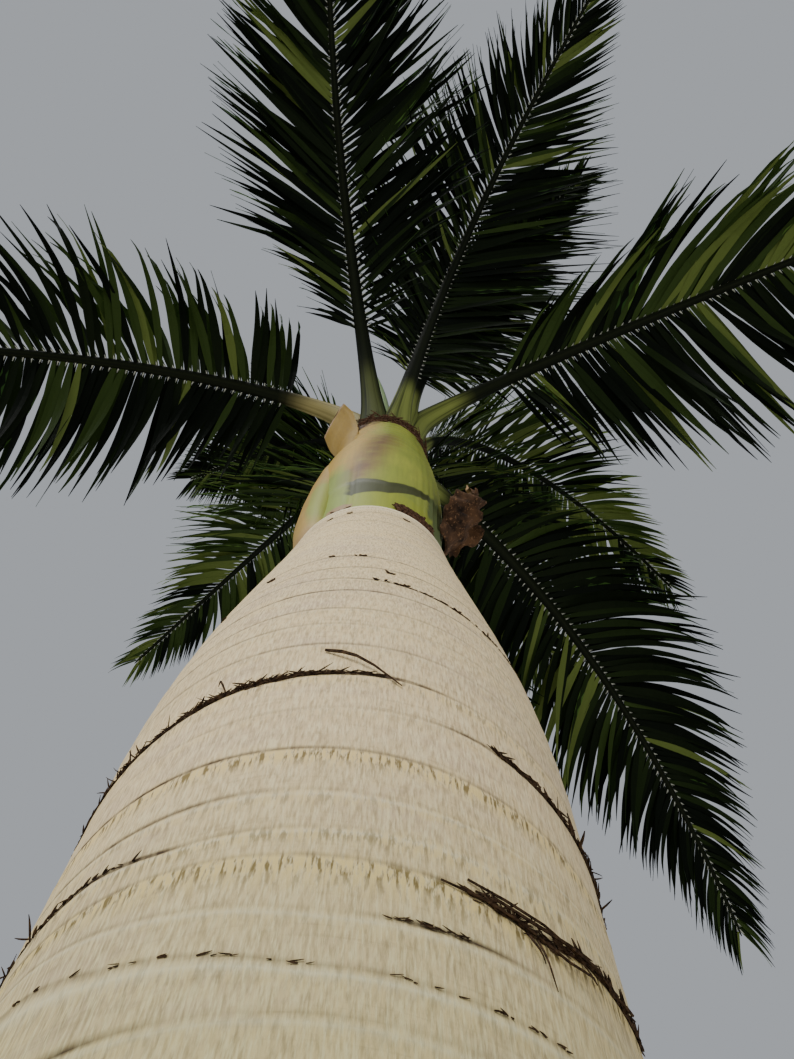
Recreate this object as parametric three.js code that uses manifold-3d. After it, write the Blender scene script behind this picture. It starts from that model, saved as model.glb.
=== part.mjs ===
import * as THREE from "three";
import { mergeVertices } from "three/addons/utils/BufferGeometryUtils.js";
import Module from "manifold-3d";

// A young royal palm, in millimetres, with +Z up. The origin is the centre of the flat cut
// under the trunk, at ground level. Azimuths are in degrees from +X towards +Y.

const wasm = await Module();
wasm.setup();

// Gap between pieces that touch on the real palm
const clearance = 0.3;
// Vertices nearer than this are one vertex
const weldDistance = 1e-3;

// Trunk: a column that tapers under the crownshaft and flares at its foot, ringed by leaf scars
const trunkTop = 3720;
const trunkRadius = 288;
const taperLoss = 123;
const taperFrom = 2600;
const taperLength = 1400;
const flareWidth = 90;
const flareHeight = 180;
const scarSpacing = 300;
const scarDepth = 5;
const scarSlope = 18;
const trunkSides = 24;

// Crownshaft: the smooth tube of leaf sheaths on the trunk
const shaftTop = 5100;
const shaftSides = 22;
const shaftFootRadius = 166;
const shaftBellyRadius = 177;
const shaftNeckRadius = 143;
const shaftBelly = 0.46;

// Younger sheaths that stand out of the crownshaft, and the unopened leaf in their middle
const innerTop = 5480;
const innerFootRadius = 86;
const innerTopRadius = 70;
const spearTop = 7300;
const spearRadius = 30;
const spearLean = 120;

// Fronds: ribs that leave the crown steeply, turn out over a short length and droop to the tip
const seatElevation = 80;
const turnLength = 240;
const seatRadius = 118;
const ribSides = 4;
const ribSteps = 12;
const pathSteps = 120;
const ribBaseWidth = 28;
const ribMiddleWidth = 19;
const ribTipWidth = 7;
const ribBaseFade = 260;
const ribDepthShare = 0.72;
const ribStepPower = 1.4;
const rootDepth = 40;

// Leaflets: folded blades in two ranks on each side of a rib
const leafletPairs = 22;
const leafletsFrom = 0.11;
const pairsInside = 9;
const fullLeafletsFrom = 0.4;
const fadingFrom = 0.5;
const lastLeafletShare = 0.3;
const leafletHalfWidth = 40;
const leafletRootHalfWidth = 13;
const leafletThinness = 130;
const leafletDroop = 1.15;
const leanAtTip = 65;
const leanPower = 2;
const rankAngle = 13;
const leafletRoom = 2.5;
const shorterLeaflets = [1, 0.74, 0.5];

// Each frond's azimuth and rise at the crown and its droop to the tip, in degrees, the power by which
// the droop grows along it, its sideways sweep and roll, the lengths of its rib and of its longest
// leaflets, and the height where it leaves the crown. At the crown its leaflets lean forward by lean,
// more on the left by skew and less on the right, and first is their share of the full length.
const fronds = [
  {
    name: "frond_front_left", azimuth: 250, rise: 50, droop: 49, power: 1.3,
    sweep: 15, roll: 4, length: 2950, leaf: 700, seat: 5130,
    lean: 35, skew: -9, first: 0.1,
  },
  {
    name: "frond_front_right", azimuth: 288, rise: 71, droop: 72, power: 1.5,
    sweep: 6, roll: -6, length: 2950, leaf: 720, seat: 5130,
    lean: 30, skew: 4, first: 0.15,
  },
  {
    name: "frond_rear_right", azimuth: 36, rise: 29, droop: 63, power: 1,
    sweep: 24, roll: 20, length: 2570, leaf: 580, seat: 5130,
    lean: 14, skew: -4, first: 0.36,
  },
  {
    name: "frond_rear_left", azimuth: 120, rise: 79, droop: 86, power: 1.2,
    sweep: 12, roll: 6, length: 2700, leaf: 560, seat: 5180,
    lean: 25, skew: 0, first: 0.36,
  },
  {
    name: "frond_rear", azimuth: 78, rise: 36, droop: 88, power: 1,
    sweep: 6, roll: -8, length: 2750, leaf: 680, seat: 5130,
    lean: 25, skew: 0, first: 0.36,
  },
  {
    name: "frond_left", azimuth: 190, rise: 15, droop: 90, power: 0.73,
    sweep: -10, roll: -32, length: 2850, leaf: 660, seat: 5520,
    lean: 10, skew: 0, first: 0.45,
  },
  {
    name: "frond_right", azimuth: 334, rise: 30, droop: 74, power: 0.9,
    sweep: -8, roll: 22, length: 2880, leaf: 740, seat: 5420,
    lean: 30, skew: -20, first: 0.36,
  },
  {
    name: "frond_upper_right", azimuth: 18, rise: 79, droop: 104, power: 1.65,
    sweep: 20, roll: 0, length: 2700, leaf: 610, seat: 5440,
    lean: 25, skew: 0, first: 0.36,
  },
  {
    name: "frond_upper_front", azimuth: 304, rise: 79, droop: 76, power: 1.5,
    sweep: 4, roll: 6, length: 2050, leaf: 480, seat: 5460,
    lean: 28, skew: 0, first: 0.15,
  },
  {
    name: "frond_upper_rear", azimuth: 100, rise: 74, droop: 62, power: 1.5,
    sweep: -8, roll: -10, length: 2600, leaf: 620, seat: 5460,
    lean: 25, skew: 0, first: 0.36,
  },
  {
    name: "frond_middle_left", azimuth: 150, rise: 76, droop: 60, power: 1.4,
    sweep: 0, roll: 0, length: 1650, leaf: 480, seat: 5480,
    lean: 28, skew: 0, first: 0.36,
  },
  {
    name: "frond_inner_right", azimuth: 50, rise: 66, droop: 84, power: 1.5,
    sweep: 6, roll: 8, length: 2550, leaf: 610, seat: 5470,
    lean: 25, skew: 0, first: 0.36,
  },
];

// Old sheath on the left of the crownshaft: its swollen foot and its flaring top
const oldSheathAzimuth = 195;
const lobeHeight = 4060;
const lobeHalfHeight = 200;
const lobeReach = 204;
const lobeHalfDepth = 60;
const lobeHalfWidth = 105;
const flapFoot = 4830;
const flapTop = 5430;
const flapReach = 250;
const flapHalfWidth = 95;
const flapThickness = 26;

// Dry fibres round the neck of the crownshaft, and a withered scrap of sheath on its right
const collarFoot = 5040;
const collarTop = 5096;
const collarThickness = 12;
const witheredAzimuth = -10;
const witheredFoot = 3960;
const witheredTop = 4560;
const witheredHalfWidth = 62;
const witheredThickness = 16;
const witheredCurl = 105;

const bark = new THREE.Color(0xcfc3a4);
const sheathGreen = new THREE.Color(0x8c9a3c);
const sheathTan = new THREE.Color(0xb89a68);
const dryBrown = new THREE.Color(0x5a4028);
const frondGreen = new THREE.Color(0x2c401c);

const palm = new THREE.Group();
const degrees = THREE.MathUtils.degToRad;
const upright = new THREE.Vector3(0, 0, 1);

/** The horizontal unit vector at an azimuth. */
function outward(azimuth) {
  return new THREE.Vector3(Math.cos(degrees(azimuth)), Math.sin(degrees(azimuth)), 0);
}

/** A closed solid from a geometry, with its shared vertices merged and its empty triangles dropped. */
function solidOf(geometry) {
  geometry.deleteAttribute("normal");
  geometry.deleteAttribute("uv");
  const merged = mergeVertices(geometry, weldDistance);
  const index = merged.index.array;
  const triangles = [];
  for (let i = 0; i < index.length; i += 3) {
    const [a, b, c] = index.slice(i, i + 3);
    if (a !== b && b !== c && c !== a) {
      triangles.push(a, b, c);
    }
  }
  const vertProperties = Float32Array.from(merged.getAttribute("position").array);
  const triVerts = Uint32Array.from(triangles);
  return new wasm.Manifold(new wasm.Mesh({ numProp: 3, vertProperties, triVerts }));
}

/** A cylinder, or a cone with pointed, whose vertices go where place(step, x, z) puts them. */
function ringed(sides, steps, place, pointed = false) {
  // A four-sided section stands square, and any other has a ridge on top
  const startAngle = sides === 4 ? Math.PI / 4 : Math.PI / 2;
  const tipRadius = pointed ? 0 : 1;
  const geometry = new THREE.CylinderGeometry(tipRadius, 1, 1, sides, steps, false, startAngle);
  const positions = geometry.getAttribute("position");
  for (let i = 0; i < positions.count; i += 1) {
    const fraction = positions.getY(i) + 0.5;
    const radius = pointed ? Math.max(1 - fraction, weldDistance) : 1;
    const x = positions.getX(i) / radius;
    const z = positions.getZ(i) / radius;
    const point = place(Math.round(fraction * steps), x, z);
    positions.setXYZ(i, point.x, point.y, point.z);
  }
  return solidOf(geometry);
}

/** A body of revolution through [radius, height] stations, from the lowest up. */
function turned(sides, stations) {
  return ringed(sides, stations.length - 1, (step, x, z) => {
    const [radius, height] = stations[step];
    return new THREE.Vector3(z * radius, x * radius, height);
  });
}

/** The largest of the separate bodies in a solid. */
function largest(solid) {
  const pieces = solid.decompose();
  return pieces.reduce((best, piece) => (piece.volume() > best.volume() ? piece : best));
}

/** A solid's surface as a geometry. */
function geometryOf(solid) {
  const { vertProperties, triVerts } = solid.getMesh();
  const geometry = new THREE.BufferGeometry();
  geometry.setAttribute("position", new THREE.BufferAttribute(vertProperties, 3));
  geometry.setIndex(new THREE.BufferAttribute(triVerts, 1));
  return geometry;
}

/** Parts joined to one body, with any hollow that they seal in filled. */
function fused(parts) {
  return largest(solidOf(geometryOf(wasm.Manifold.union(parts))));
}

/** A solid with the others cut out of it, as one body. */
function cutBy(solid, cutters) {
  return largest(cutters.reduce((rest, cutter) => rest.subtract(cutter), solid));
}

/** Adds a solid to the palm as a named mesh. */
function addPiece(name, solid, color, roughness) {
  const material = new THREE.MeshStandardMaterial({ color, roughness, metalness: 0 });
  const mesh = new THREE.Mesh(geometryOf(solid), material);
  mesh.name = name;
  palm.add(mesh);
}

/** The trunk's radius at a height, without its scars. */
function trunkRadiusAt(height) {
  const taper = THREE.MathUtils.smoothstep(height, taperFrom, taperFrom + taperLength);
  return trunkRadius - taperLoss * taper + flareWidth * Math.exp(-height / flareHeight);
}

/** The trunk's outline: each leaf scar is a small step in, with a slope back out above it. */
function trunkStations() {
  const stations = [[trunkRadiusAt(0), 0]];
  for (let height = scarSpacing; height < trunkTop - scarSlope; height += scarSpacing) {
    stations.push([trunkRadiusAt(height) - scarDepth, height]);
    stations.push([trunkRadiusAt(height + scarSlope), height + scarSlope]);
  }
  stations.push([trunkRadiusAt(trunkTop), trunkTop]);
  return stations;
}

/** The crownshaft's radius at a height. */
function shaftRadiusAt(height) {
  const share = (height - trunkTop) / (shaftTop - trunkTop);
  if (share < shaftBelly) {
    const swell = THREE.MathUtils.smootherstep(share, 0, shaftBelly);
    return THREE.MathUtils.lerp(shaftFootRadius, shaftBellyRadius, swell);
  }
  const narrowing = THREE.MathUtils.smoothstep(share, shaftBelly, 1);
  return THREE.MathUtils.lerp(shaftBellyRadius, shaftNeckRadius, narrowing);
}

/** The crownshaft from foot to top, larger all round by room. */
function crownshaft(foot, top, room) {
  const steps = 8;
  const stations = [];
  for (let i = 0; i <= steps; i += 1) {
    const height = THREE.MathUtils.lerp(foot, top, i / steps);
    stations.push([shaftRadiusAt(height) + room, height + (i === steps ? room : 0)]);
  }
  return turned(shaftSides, stations);
}

/** The younger sheaths inside, larger all round by room. */
function innerShaft(room) {
  const foot = shaftTop + clearance;
  return turned(shaftSides, [
    [innerFootRadius + room, foot - room],
    [THREE.MathUtils.lerp(innerFootRadius, innerTopRadius, 0.3) + room, foot + (innerTop - foot) * 0.5],
    [innerTopRadius + room, innerTop - innerTopRadius * 0.5],
    [innerTopRadius * 0.6 + room, innerTop + room],
  ]);
}

/** The unopened leaf: a slim cone on the inner sheaths that leans a little. */
function spear(room) {
  const steps = 8;
  const foot = innerTop + clearance;
  const shape = (step, x, z) => {
    const share = step / steps;
    const radius = spearRadius * (1 - 0.55 * share) + room;
    const lean = outward(oldSheathAzimuth).multiplyScalar(spearLean * share ** 2);
    const height = THREE.MathUtils.lerp(foot - room, spearTop + room, share);
    const round = step === steps ? 0 : radius;
    return new THREE.Vector3(z * round, x * round, height).add(lean);
  };
  return ringed(6, steps, shape, true);
}

/** The unit vector along a frond's rib, a share of its length from the crown. */
function ribDirection(frond, share) {
  const along = Math.max(share, 0);
  const turning = Math.exp((-along * frond.length) / turnLength);
  const steepness = frond.rise + (seatElevation - frond.rise) * turning;
  const elevation = degrees(steepness - frond.droop * along ** frond.power);
  return outward(frond.azimuth + frond.sweep * along)
    .multiplyScalar(Math.cos(elevation))
    .setZ(Math.sin(elevation));
}

/** The points of a rib's centre line in equal steps from the crown to the tip. */
function ribPath(frond) {
  const point = outward(frond.azimuth).multiplyScalar(seatRadius).setZ(frond.seat);
  const path = [point.clone()];
  for (let i = 0; i < pathSteps; i += 1) {
    const direction = ribDirection(frond, (i + 0.5) / pathSteps);
    point.addScaledVector(direction, frond.length / pathSteps);
    path.push(point.clone());
  }
  return path;
}

/** Place and axes of a rib, a share of its length from the crown. A share below 0 goes straight back. */
function ribFrame(frond, share) {
  const forward = ribDirection(frond, share);
  const level = outward(frond.azimuth + frond.sweep * Math.max(share, 0) + 90);
  const across = level.applyAxisAngle(forward, degrees(-frond.roll));
  const up = forward.clone().cross(across);
  if (share < 0) {
    const place = frond.path[0].clone().addScaledVector(forward, share * frond.length);
    return { place, forward, across, up };
  }
  const step = Math.min(Math.floor(share * pathSteps), pathSteps - 1);
  const place = frond.path[step].clone().lerp(frond.path[step + 1], share * pathSteps - step);
  return { place, forward, across, up };
}

/** Half of a rib's width, a share of its length from the crown. */
function ribHalfWidth(frond, share) {
  const along = Math.max(share, 0);
  const swollen = ribBaseWidth * Math.exp((-along * frond.length) / ribBaseFade);
  return ribTipWidth + ribMiddleWidth * (1 - along) + swollen;
}

/** A stretch of a rib between two shares of its length, larger all round by room. */
function rib(frond, from, to, room) {
  const steps = from < 0 ? ribSteps : ribSteps / 2;
  const shape = (step, x, z) => {
    const eased = from < 0 ? (step / steps) ** ribStepPower : step / steps;
    const share = THREE.MathUtils.lerp(from, to, eased);
    const { place, across, up } = ribFrame(frond, share);
    const halfWidth = ribHalfWidth(frond, share);
    const corner = Math.SQRT2;
    return place
      .addScaledVector(up, x * corner * (halfWidth * ribDepthShare + room))
      .addScaledVector(across, z * corner * (halfWidth + room));
  };
  return ringed(ribSides, steps, shape);
}

/** How long a frond's leaflets are, a share of the rib's length from the crown. */
function leafletLengthAt(frond, share) {
  const grown = THREE.MathUtils.smoothstep(share, 0.1, fullLeafletsFrom);
  const faded = Math.max((share - fadingFrom) / (1 - fadingFrom), 0);
  const atBase = THREE.MathUtils.lerp(frond.first, 1, grown);
  return frond.leaf * atBase * THREE.MathUtils.lerp(1, lastLeafletShare, faded);
}

/** One leaflet: a three-sided blade that leans forward, and droops in its outer half. */
function leaflet(frond, share, side, rank, size, room) {
  const { place, forward, across, up } = ribFrame(frond, share);
  const leanAtBase = frond.lean + frond.skew * side;
  const lean = degrees(THREE.MathUtils.lerp(leanAtBase, leanAtTip, share ** leanPower));
  const tilt = degrees(rankAngle * rank);
  const inner = across.multiplyScalar(side * Math.cos(tilt)).addScaledVector(up, Math.sin(tilt));
  inner.multiplyScalar(Math.cos(lean)).addScaledVector(forward, Math.sin(lean));
  const outer = inner.clone().addScaledVector(upright, -leafletDroop).normalize();
  const fullLength = leafletLengthAt(frond, share);
  const length = fullLength * size;
  const middle = place.clone().addScaledVector(inner, length * 0.5);
  const tip = middle.clone().addScaledVector(outer, length * 0.5 + room);
  const centres = [place, middle, tip];
  const axes = [inner, inner.clone().add(outer).normalize(), outer];
  const facing = forward.clone().cross(inner).multiplyScalar(side);
  const crowding = Math.cos(lean) / Math.cos(degrees(leanAtBase));
  const halfWidths = [leafletRootHalfWidth * crowding, leafletHalfWidth * crowding, 0];
  const shape = (step, x, z) => {
    const face = facing.clone().projectOnPlane(axes[step]).normalize();
    const edge = axes[step].clone().cross(face).multiplyScalar(-1);
    const halfWidth = step < 2 ? halfWidths[step] + room : 0;
    const thickness = step < 2 ? fullLength / leafletThinness + room : 0;
    return centres[step]
      .clone()
      .addScaledVector(face, x * thickness)
      .addScaledVector(edge, (z / Math.cos(Math.PI / 6)) * halfWidth);
  };
  return ringed(3, 2, shape, true);
}

/** Whether two solids' boxes meet. */
function boxesMeet(one, other) {
  const a = one.boundingBox();
  const b = other.boundingBox();
  return [0, 1, 2].every((k) => a.min[k] < b.max[k] && b.min[k] < a.max[k]);
}

/** Whether a solid runs into any of the others. */
function meetsAny(solid, others) {
  return others.some((other) => boxesMeet(solid, other) && !solid.intersect(other).isEmpty());
}

/** A piece of sheath: a flattened bar through [reach, height, half width] stations. */
function sheathPiece(azimuth, stations, thickness, room, pointed) {
  const out = outward(azimuth);
  const across = outward(azimuth + 90);
  const shape = (step, x, z) => {
    const [reach, height, halfWidth] = stations[step];
    const hollowing = (z * z * halfWidth) / 4;
    return new THREE.Vector3(0, 0, height)
      .addScaledVector(out, reach - thickness / 2 - hollowing + x * (thickness / 2 + room))
      .addScaledVector(across, -z * (halfWidth + room));
  };
  return ringed(8, stations.length - 1, shape, pointed);
}

/** The swollen foot of the old sheath. */
function sheathLobe() {
  const steps = 8;
  const stations = [];
  for (let i = 0; i <= steps; i += 1) {
    const angle = (Math.PI * (i + 0.35)) / (steps + 0.7);
    stations.push([lobeHeight - lobeHalfHeight * Math.cos(angle), Math.sin(angle)]);
  }
  const out = outward(oldSheathAzimuth);
  const across = outward(oldSheathAzimuth + 90);
  return ringed(10, steps, (step, x, z) => {
    const [height, size] = stations[step];
    return new THREE.Vector3(0, 0, height)
      .addScaledVector(out, lobeReach - lobeHalfDepth + x * lobeHalfDepth * size)
      .addScaledVector(across, -z * lobeHalfWidth * size);
  });
}

/** The flaring top of the old sheath, under the left frond, thicker by room on each side. */
function sheathFlap(room) {
  const steps = 5;
  const stations = [];
  for (let i = 0; i <= steps; i += 1) {
    const share = i / steps;
    const height = THREE.MathUtils.lerp(flapFoot, flapTop, share);
    const foot = shaftRadiusAt(flapFoot) + flapThickness * 0.6;
    const reach = THREE.MathUtils.lerp(foot, flapReach, share ** 2);
    stations.push([reach, height, flapHalfWidth * (1 - 0.4 * share)]);
  }
  return sheathPiece(oldSheathAzimuth, stations, flapThickness, room, false);
}

/** The withered scrap of sheath, which curls away from the crownshaft to a point. */
function witheredSheath() {
  const steps = 5;
  const stations = [];
  for (let i = 0; i <= steps; i += 1) {
    const share = i / steps;
    const reach = shaftRadiusAt(witheredFoot) + witheredThickness + witheredCurl * Math.sin(share * 1.9);
    const height = THREE.MathUtils.lerp(witheredFoot, witheredTop, share);
    stations.push([reach, height, witheredHalfWidth * (0.6 + Math.sin(Math.PI * share) * 0.6)]);
  }
  return sheathPiece(witheredAzimuth, stations, witheredThickness, 0, true);
}

/** The dry fibres: a band round the crownshaft's neck, solid until the crownshaft is cut out of it. */
function collar() {
  return turned(shaftSides, [
    [shaftRadiusAt(collarFoot) + collarThickness * 0.5, collarFoot],
    [shaftRadiusAt(collarTop) + collarThickness, collarTop],
  ]);
}

/** The share of a rib's length where the leaflet pair of this number is rooted. */
function pairShare(number) {
  return leafletsFrom + ((1 - leafletsFrom) * number) / leafletPairs;
}

// Trunk, crownshaft and what stands in it
const shaftFoot = trunkTop + clearance;
const shaft = crownshaft(shaftFoot, shaftTop, 0);
const shaftRoom = crownshaft(shaftFoot - clearance, shaftTop, clearance);
const placed = [turned(trunkSides, trunkStations()), shaft, innerShaft(0), spear(0)];
addPiece("trunk", placed[0], bark, 0.85);
addPiece("crownshaft", placed[1], sheathGreen, 0.55);
addPiece("inner_crownshaft", placed[2], sheathGreen, 0.55);
addPiece("spear_leaf", placed[3], frondGreen, 0.6);

// Ribs, each cut clear of the crownshaft and of the ribs before it, in an inner and an outer stretch
const belowSeats = turned(8, [
  [2 * shaftBellyRadius, shaftFoot],
  [2 * shaftBellyRadius, shaftTop + clearance],
]);
const seatCutters = [belowSeats, innerShaft(clearance), spear(clearance)];
const notRibs = seatCutters.length;
const stretches = [];
for (const frond of fronds) {
  frond.path = ribPath(frond);
  const bend = pairShare(pairsInside);
  const halfGap = clearance / 2 / frond.length;
  const root = (shaftTop - rootDepth - frond.seat) / Math.sin(degrees(seatElevation)) / frond.length;
  const inside = cutBy(rib(frond, root, bend - halfGap, 0), seatCutters);
  const outside = rib(frond, bend + halfGap, 1, 0);
  seatCutters.push(rib(frond, root, bend, clearance));
  stretches.push({ frond, name: `${frond.name}_inner`, solid: inside, first: 0, last: pairsInside });
  const name = `${frond.name}_outer`;
  stretches.push({ frond, name, solid: outside, first: pairsInside, last: leafletPairs });
}

// Old sheath, fibres and the withered scrap
const pastRibs = seatCutters.slice(notRibs);
const flap = cutBy(sheathFlap(0), [shaftRoom, ...pastRibs]);
const lobe = cutBy(sheathLobe(), [shaftRoom]);
const fibres = cutBy(collar(), [shaftRoom, sheathFlap(clearance)]);
const withered = cutBy(witheredSheath(), [shaftRoom]);
addPiece("sheath_flap", flap, sheathTan, 0.7);
addPiece("sheath_lobe", lobe, sheathTan, 0.7);
addPiece("fibre_collar", fibres, dryBrown, 0.9);
addPiece("withered_sheath", withered, dryBrown, 0.9);
placed.push(flap, lobe, fibres, withered);

// Leaflets, each shortened or skipped where it would run into another piece
for (const stretch of stretches) {
  const others = [...placed, ...stretches.filter((other) => other !== stretch).map((other) => other.solid)];
  const parts = [stretch.solid];
  for (let number = stretch.first; number < stretch.last; number += 1) {
    for (const side of [1, -1]) {
      const share = pairShare(number + 0.5);
      const rank = (number + (side > 0 ? 0 : 1)) % 2 === 0 ? 1 : -1;
      const size = shorterLeaflets.find(
        (each) => !meetsAny(leaflet(stretch.frond, share, side, rank, each, leafletRoom), others),
      );
      if (size) {
        parts.push(leaflet(stretch.frond, share, side, rank, size, 0));
      }
    }
  }
  stretch.solid = fused(parts);
  addPiece(stretch.name, stretch.solid, frondGreen, 0.6);
}

export default palm;
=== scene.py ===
import functools
import random
from math import atan2, copysign, cos, degrees, exp, pi, radians, sin, sqrt, tau

import bmesh
import bpy
import numpy as np
from mathutils import Matrix, Vector
from mathutils.bvhtree import BVHTree


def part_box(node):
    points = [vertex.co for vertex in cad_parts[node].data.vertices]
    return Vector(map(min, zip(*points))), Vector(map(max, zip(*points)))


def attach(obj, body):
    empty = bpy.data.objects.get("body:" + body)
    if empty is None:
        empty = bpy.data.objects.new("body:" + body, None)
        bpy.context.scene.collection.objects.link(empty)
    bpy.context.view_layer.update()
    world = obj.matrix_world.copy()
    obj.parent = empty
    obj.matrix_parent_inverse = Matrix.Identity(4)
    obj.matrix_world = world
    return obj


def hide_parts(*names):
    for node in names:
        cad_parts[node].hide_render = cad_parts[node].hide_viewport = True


# A young royal palm on a studio floor, seen from close to its trunk, looking up into its crown.
# Metres, +Z up, the origin at the centre of the trunk's foot. Azimuths are degrees from +X towards +Y.
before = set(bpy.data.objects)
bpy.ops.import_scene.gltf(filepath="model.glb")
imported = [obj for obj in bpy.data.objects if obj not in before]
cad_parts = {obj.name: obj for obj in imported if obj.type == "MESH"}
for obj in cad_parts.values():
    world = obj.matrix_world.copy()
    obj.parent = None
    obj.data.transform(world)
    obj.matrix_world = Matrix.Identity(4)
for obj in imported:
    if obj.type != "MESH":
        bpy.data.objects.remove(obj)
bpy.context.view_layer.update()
upright = Vector((0, 0, 1))


def outward(azimuth):
    turn = radians(azimuth)
    return Vector((cos(turn), sin(turn), 0))


def smoothstep(value, low, high):
    share = min(max((value - low) / (high - low), 0), 1)
    return share * share * (3 - 2 * share)


def smootherstep(value, low, high):
    share = min(max((value - low) / (high - low), 0), 1)
    return share ** 3 * (share * (6 * share - 15) + 10)


def mix(first, second, share):
    return first + (second - first) * share


def bell(value, centre, width):
    return exp(-(((value - centre) / width) ** 2))


def azimuthOf(point):
    return degrees(atan2(point.y, point.x))


def azimuthFrom(point, azimuth):
    # Signed turn in degrees from an azimuth to where a point lies round the trunk's axis
    return (azimuthOf(point) - azimuth + 180) % 360 - 180


def rowsOf(headings, rows):
    # One dictionary for each row of values, by the headings over them
    return [dict(zip(headings.split(), row)) for row in rows]


# Materials are built from nodes on object coordinates, the piece's UV map and its attributes

def rgb(red, green, blue):
    return (red, green, blue, 1)


def newMaterial(name, roughness, specular):
    material = bpy.data.materials.new(name)
    material.use_nodes = True
    shader = material.node_tree.nodes["Principled BSDF"]
    shader.inputs["Roughness"].default_value = roughness
    shader.inputs["Specular IOR Level"].default_value = specular
    return material


def addNode(tree, kind, inputs, **settings):
    node = tree.nodes.new(kind)
    for setting, value in settings.items():
        setattr(node, setting, value)
    for socket, value in inputs.items():
        if isinstance(value, bpy.types.NodeSocket):
            tree.links.new(value, node.inputs[socket])
        else:
            node.inputs[socket].default_value = value
    return node


def coordinates(material, space="Object"):
    return addNode(material.node_tree, "ShaderNodeTexCoord", {}).outputs[space]


def noise(material, scale, stretch=(1, 1, 1), detail=4, space="Object"):
    place = {"Vector": coordinates(material, space), "Scale": stretch}
    mapping = addNode(material.node_tree, "ShaderNodeMapping", place)
    texture = {"Vector": mapping.outputs["Vector"], "Scale": scale, "Detail": detail, "Roughness": 0.6}
    return addNode(material.node_tree, "ShaderNodeTexNoise", texture).outputs["Fac"]


def fibres(material, around, along, detail=4):
    # Fine streaks that run up a piece, or round it where they are denser along it
    return noise(material, 1, (around, around, along), detail)


def attribute(material, name):
    return addNode(material.node_tree, "ShaderNodeAttribute", {}, attribute_name=name).outputs["Fac"]


# The next functions add their node to the tree of the socket that they read

def remap(value, low, high, first=0, last=1):
    inputs = {"Value": value, "From Min": low, "From Max": high, "To Min": first, "To Max": last}
    return addNode(value.id_data, "ShaderNodeMapRange", inputs).outputs["Result"]


def blend(share, first, second, how="MIX"):
    inputs = {0: share, 6: first, 7: second}
    return addNode(share.id_data, "ShaderNodeMix", inputs, data_type="RGBA", blend_type=how).outputs[2]


def tinted(colour, tone, value, low, high, most=1):
    # A colour under a tone that comes in as a value goes from low to high
    return blend(remap(value, low, high, 0, most), colour, tone)


def times(first, second):
    return addNode(first.id_data, "ShaderNodeMath", {0: first, 1: second}, operation="MULTIPLY").outputs[0]


def finishMaterial(material, colour, height=None, distance=0.001, strength=0.5):
    links = material.node_tree.links
    shader = material.node_tree.nodes["Principled BSDF"]
    if isinstance(colour, tuple):
        shader.inputs["Base Color"].default_value = colour
    else:
        links.new(colour, shader.inputs["Base Color"])
    if height is not None:
        inputs = {"Height": height, "Distance": distance, "Strength": strength}
        bump = addNode(material.node_tree, "ShaderNodeBump", inputs)
        links.new(bump.outputs["Normal"], shader.inputs["Normal"])
    return material


# Meshes

def rolledGrid(shape, place):
    # A grid rolled into a closed tube: place(turn, share) says where each of its points goes
    around, along = shape["sides"], shape["steps"]
    bm = bmesh.new()
    bm.loops.layers.uv.new("UVMap")
    bmesh.ops.create_grid(bm, x_segments=around, y_segments=along, size=0.5, calc_uvs=True)
    shares = bm.verts.layers.float.new("along")
    for vertex in bm.verts:
        vertex[shares] = vertex.co.y + 0.5
        vertex.co = place(vertex.co.x + 0.5, vertex.co.y + 0.5)
    bmesh.ops.remove_doubles(bm, verts=bm.verts, dist=1e-5)
    bmesh.ops.holes_fill(bm, edges=[edge for edge in bm.edges if edge.is_boundary], sides=0)
    bmesh.ops.recalc_face_normals(bm, faces=bm.faces)
    return bm


def paint(bm, name, value):
    # A value at each point, worked out from its place and its share of the way along the tube
    shares = bm.verts.layers.float["along"]
    layer = bm.verts.layers.float.new(name)
    for vertex in bm.verts:
        vertex[layer] = value(vertex.co, vertex[shares])


def placePiece(piece, nodes):
    bpy.context.scene.collection.objects.link(piece)
    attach(piece, "root")
    if nodes:
        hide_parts(*nodes)
    return piece


def addPiece(name, bm, material, nodes=()):
    mesh = bpy.data.meshes.new(name)
    bm.to_mesh(mesh)
    bm.free()
    for polygon in mesh.polygons:
        polygon.use_smooth = True
    mesh.materials.append(material)
    return placePiece(bpy.data.objects.new(name, mesh), nodes)


def addCopies(name, copies, tints, materials, nodes=()):
    # Blades with the same four-cornered rings, joined to one mesh. Where there are tints, each has two
    # materials: the first for a blade's upper faces, and the second for the faces under them.
    rings = len(copies[0]) // 4
    sides = [
        [start + first, start + 4 + first, start + 4 + second, start + second]
        for start in range(0, rings * 4 - 4, 4)
        for first, second in ((0, 1), (1, 2), (2, 3), (3, 0))
    ]
    ends = [[0, 1, 2, 3], [rings * 4 - corner for corner in (1, 2, 3, 4)]]
    pattern = np.array(sides + ends)
    underside = np.array([0, 0, 1, 1] * (rings - 1) + [1, 1])
    starts = np.arange(len(copies)) * rings * 4
    faces = (pattern[None] + starts[:, None, None]).reshape(-1, 4)
    mesh = bpy.data.meshes.new(name)
    mesh.from_pydata(np.concatenate(copies).tolist(), [], faces.tolist())
    for material in materials:
        mesh.materials.append(material)
    if len(materials) > 1:
        indices = np.array(tints)[:, None] * 2 + underside[None]
        mesh.polygons.foreach_set("material_index", indices.ravel().astype(np.int32))
    return placePiece(bpy.data.objects.new(name, mesh), nodes)


def unit(rows):
    return rows / np.linalg.norm(rows, axis=-1, keepdims=True)


def grown(root, headings, length):
    # The points of a line that grows from its root by one step along each heading
    return np.vstack([root, root + np.cumsum(headings * length / len(headings), axis=0)])


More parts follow.
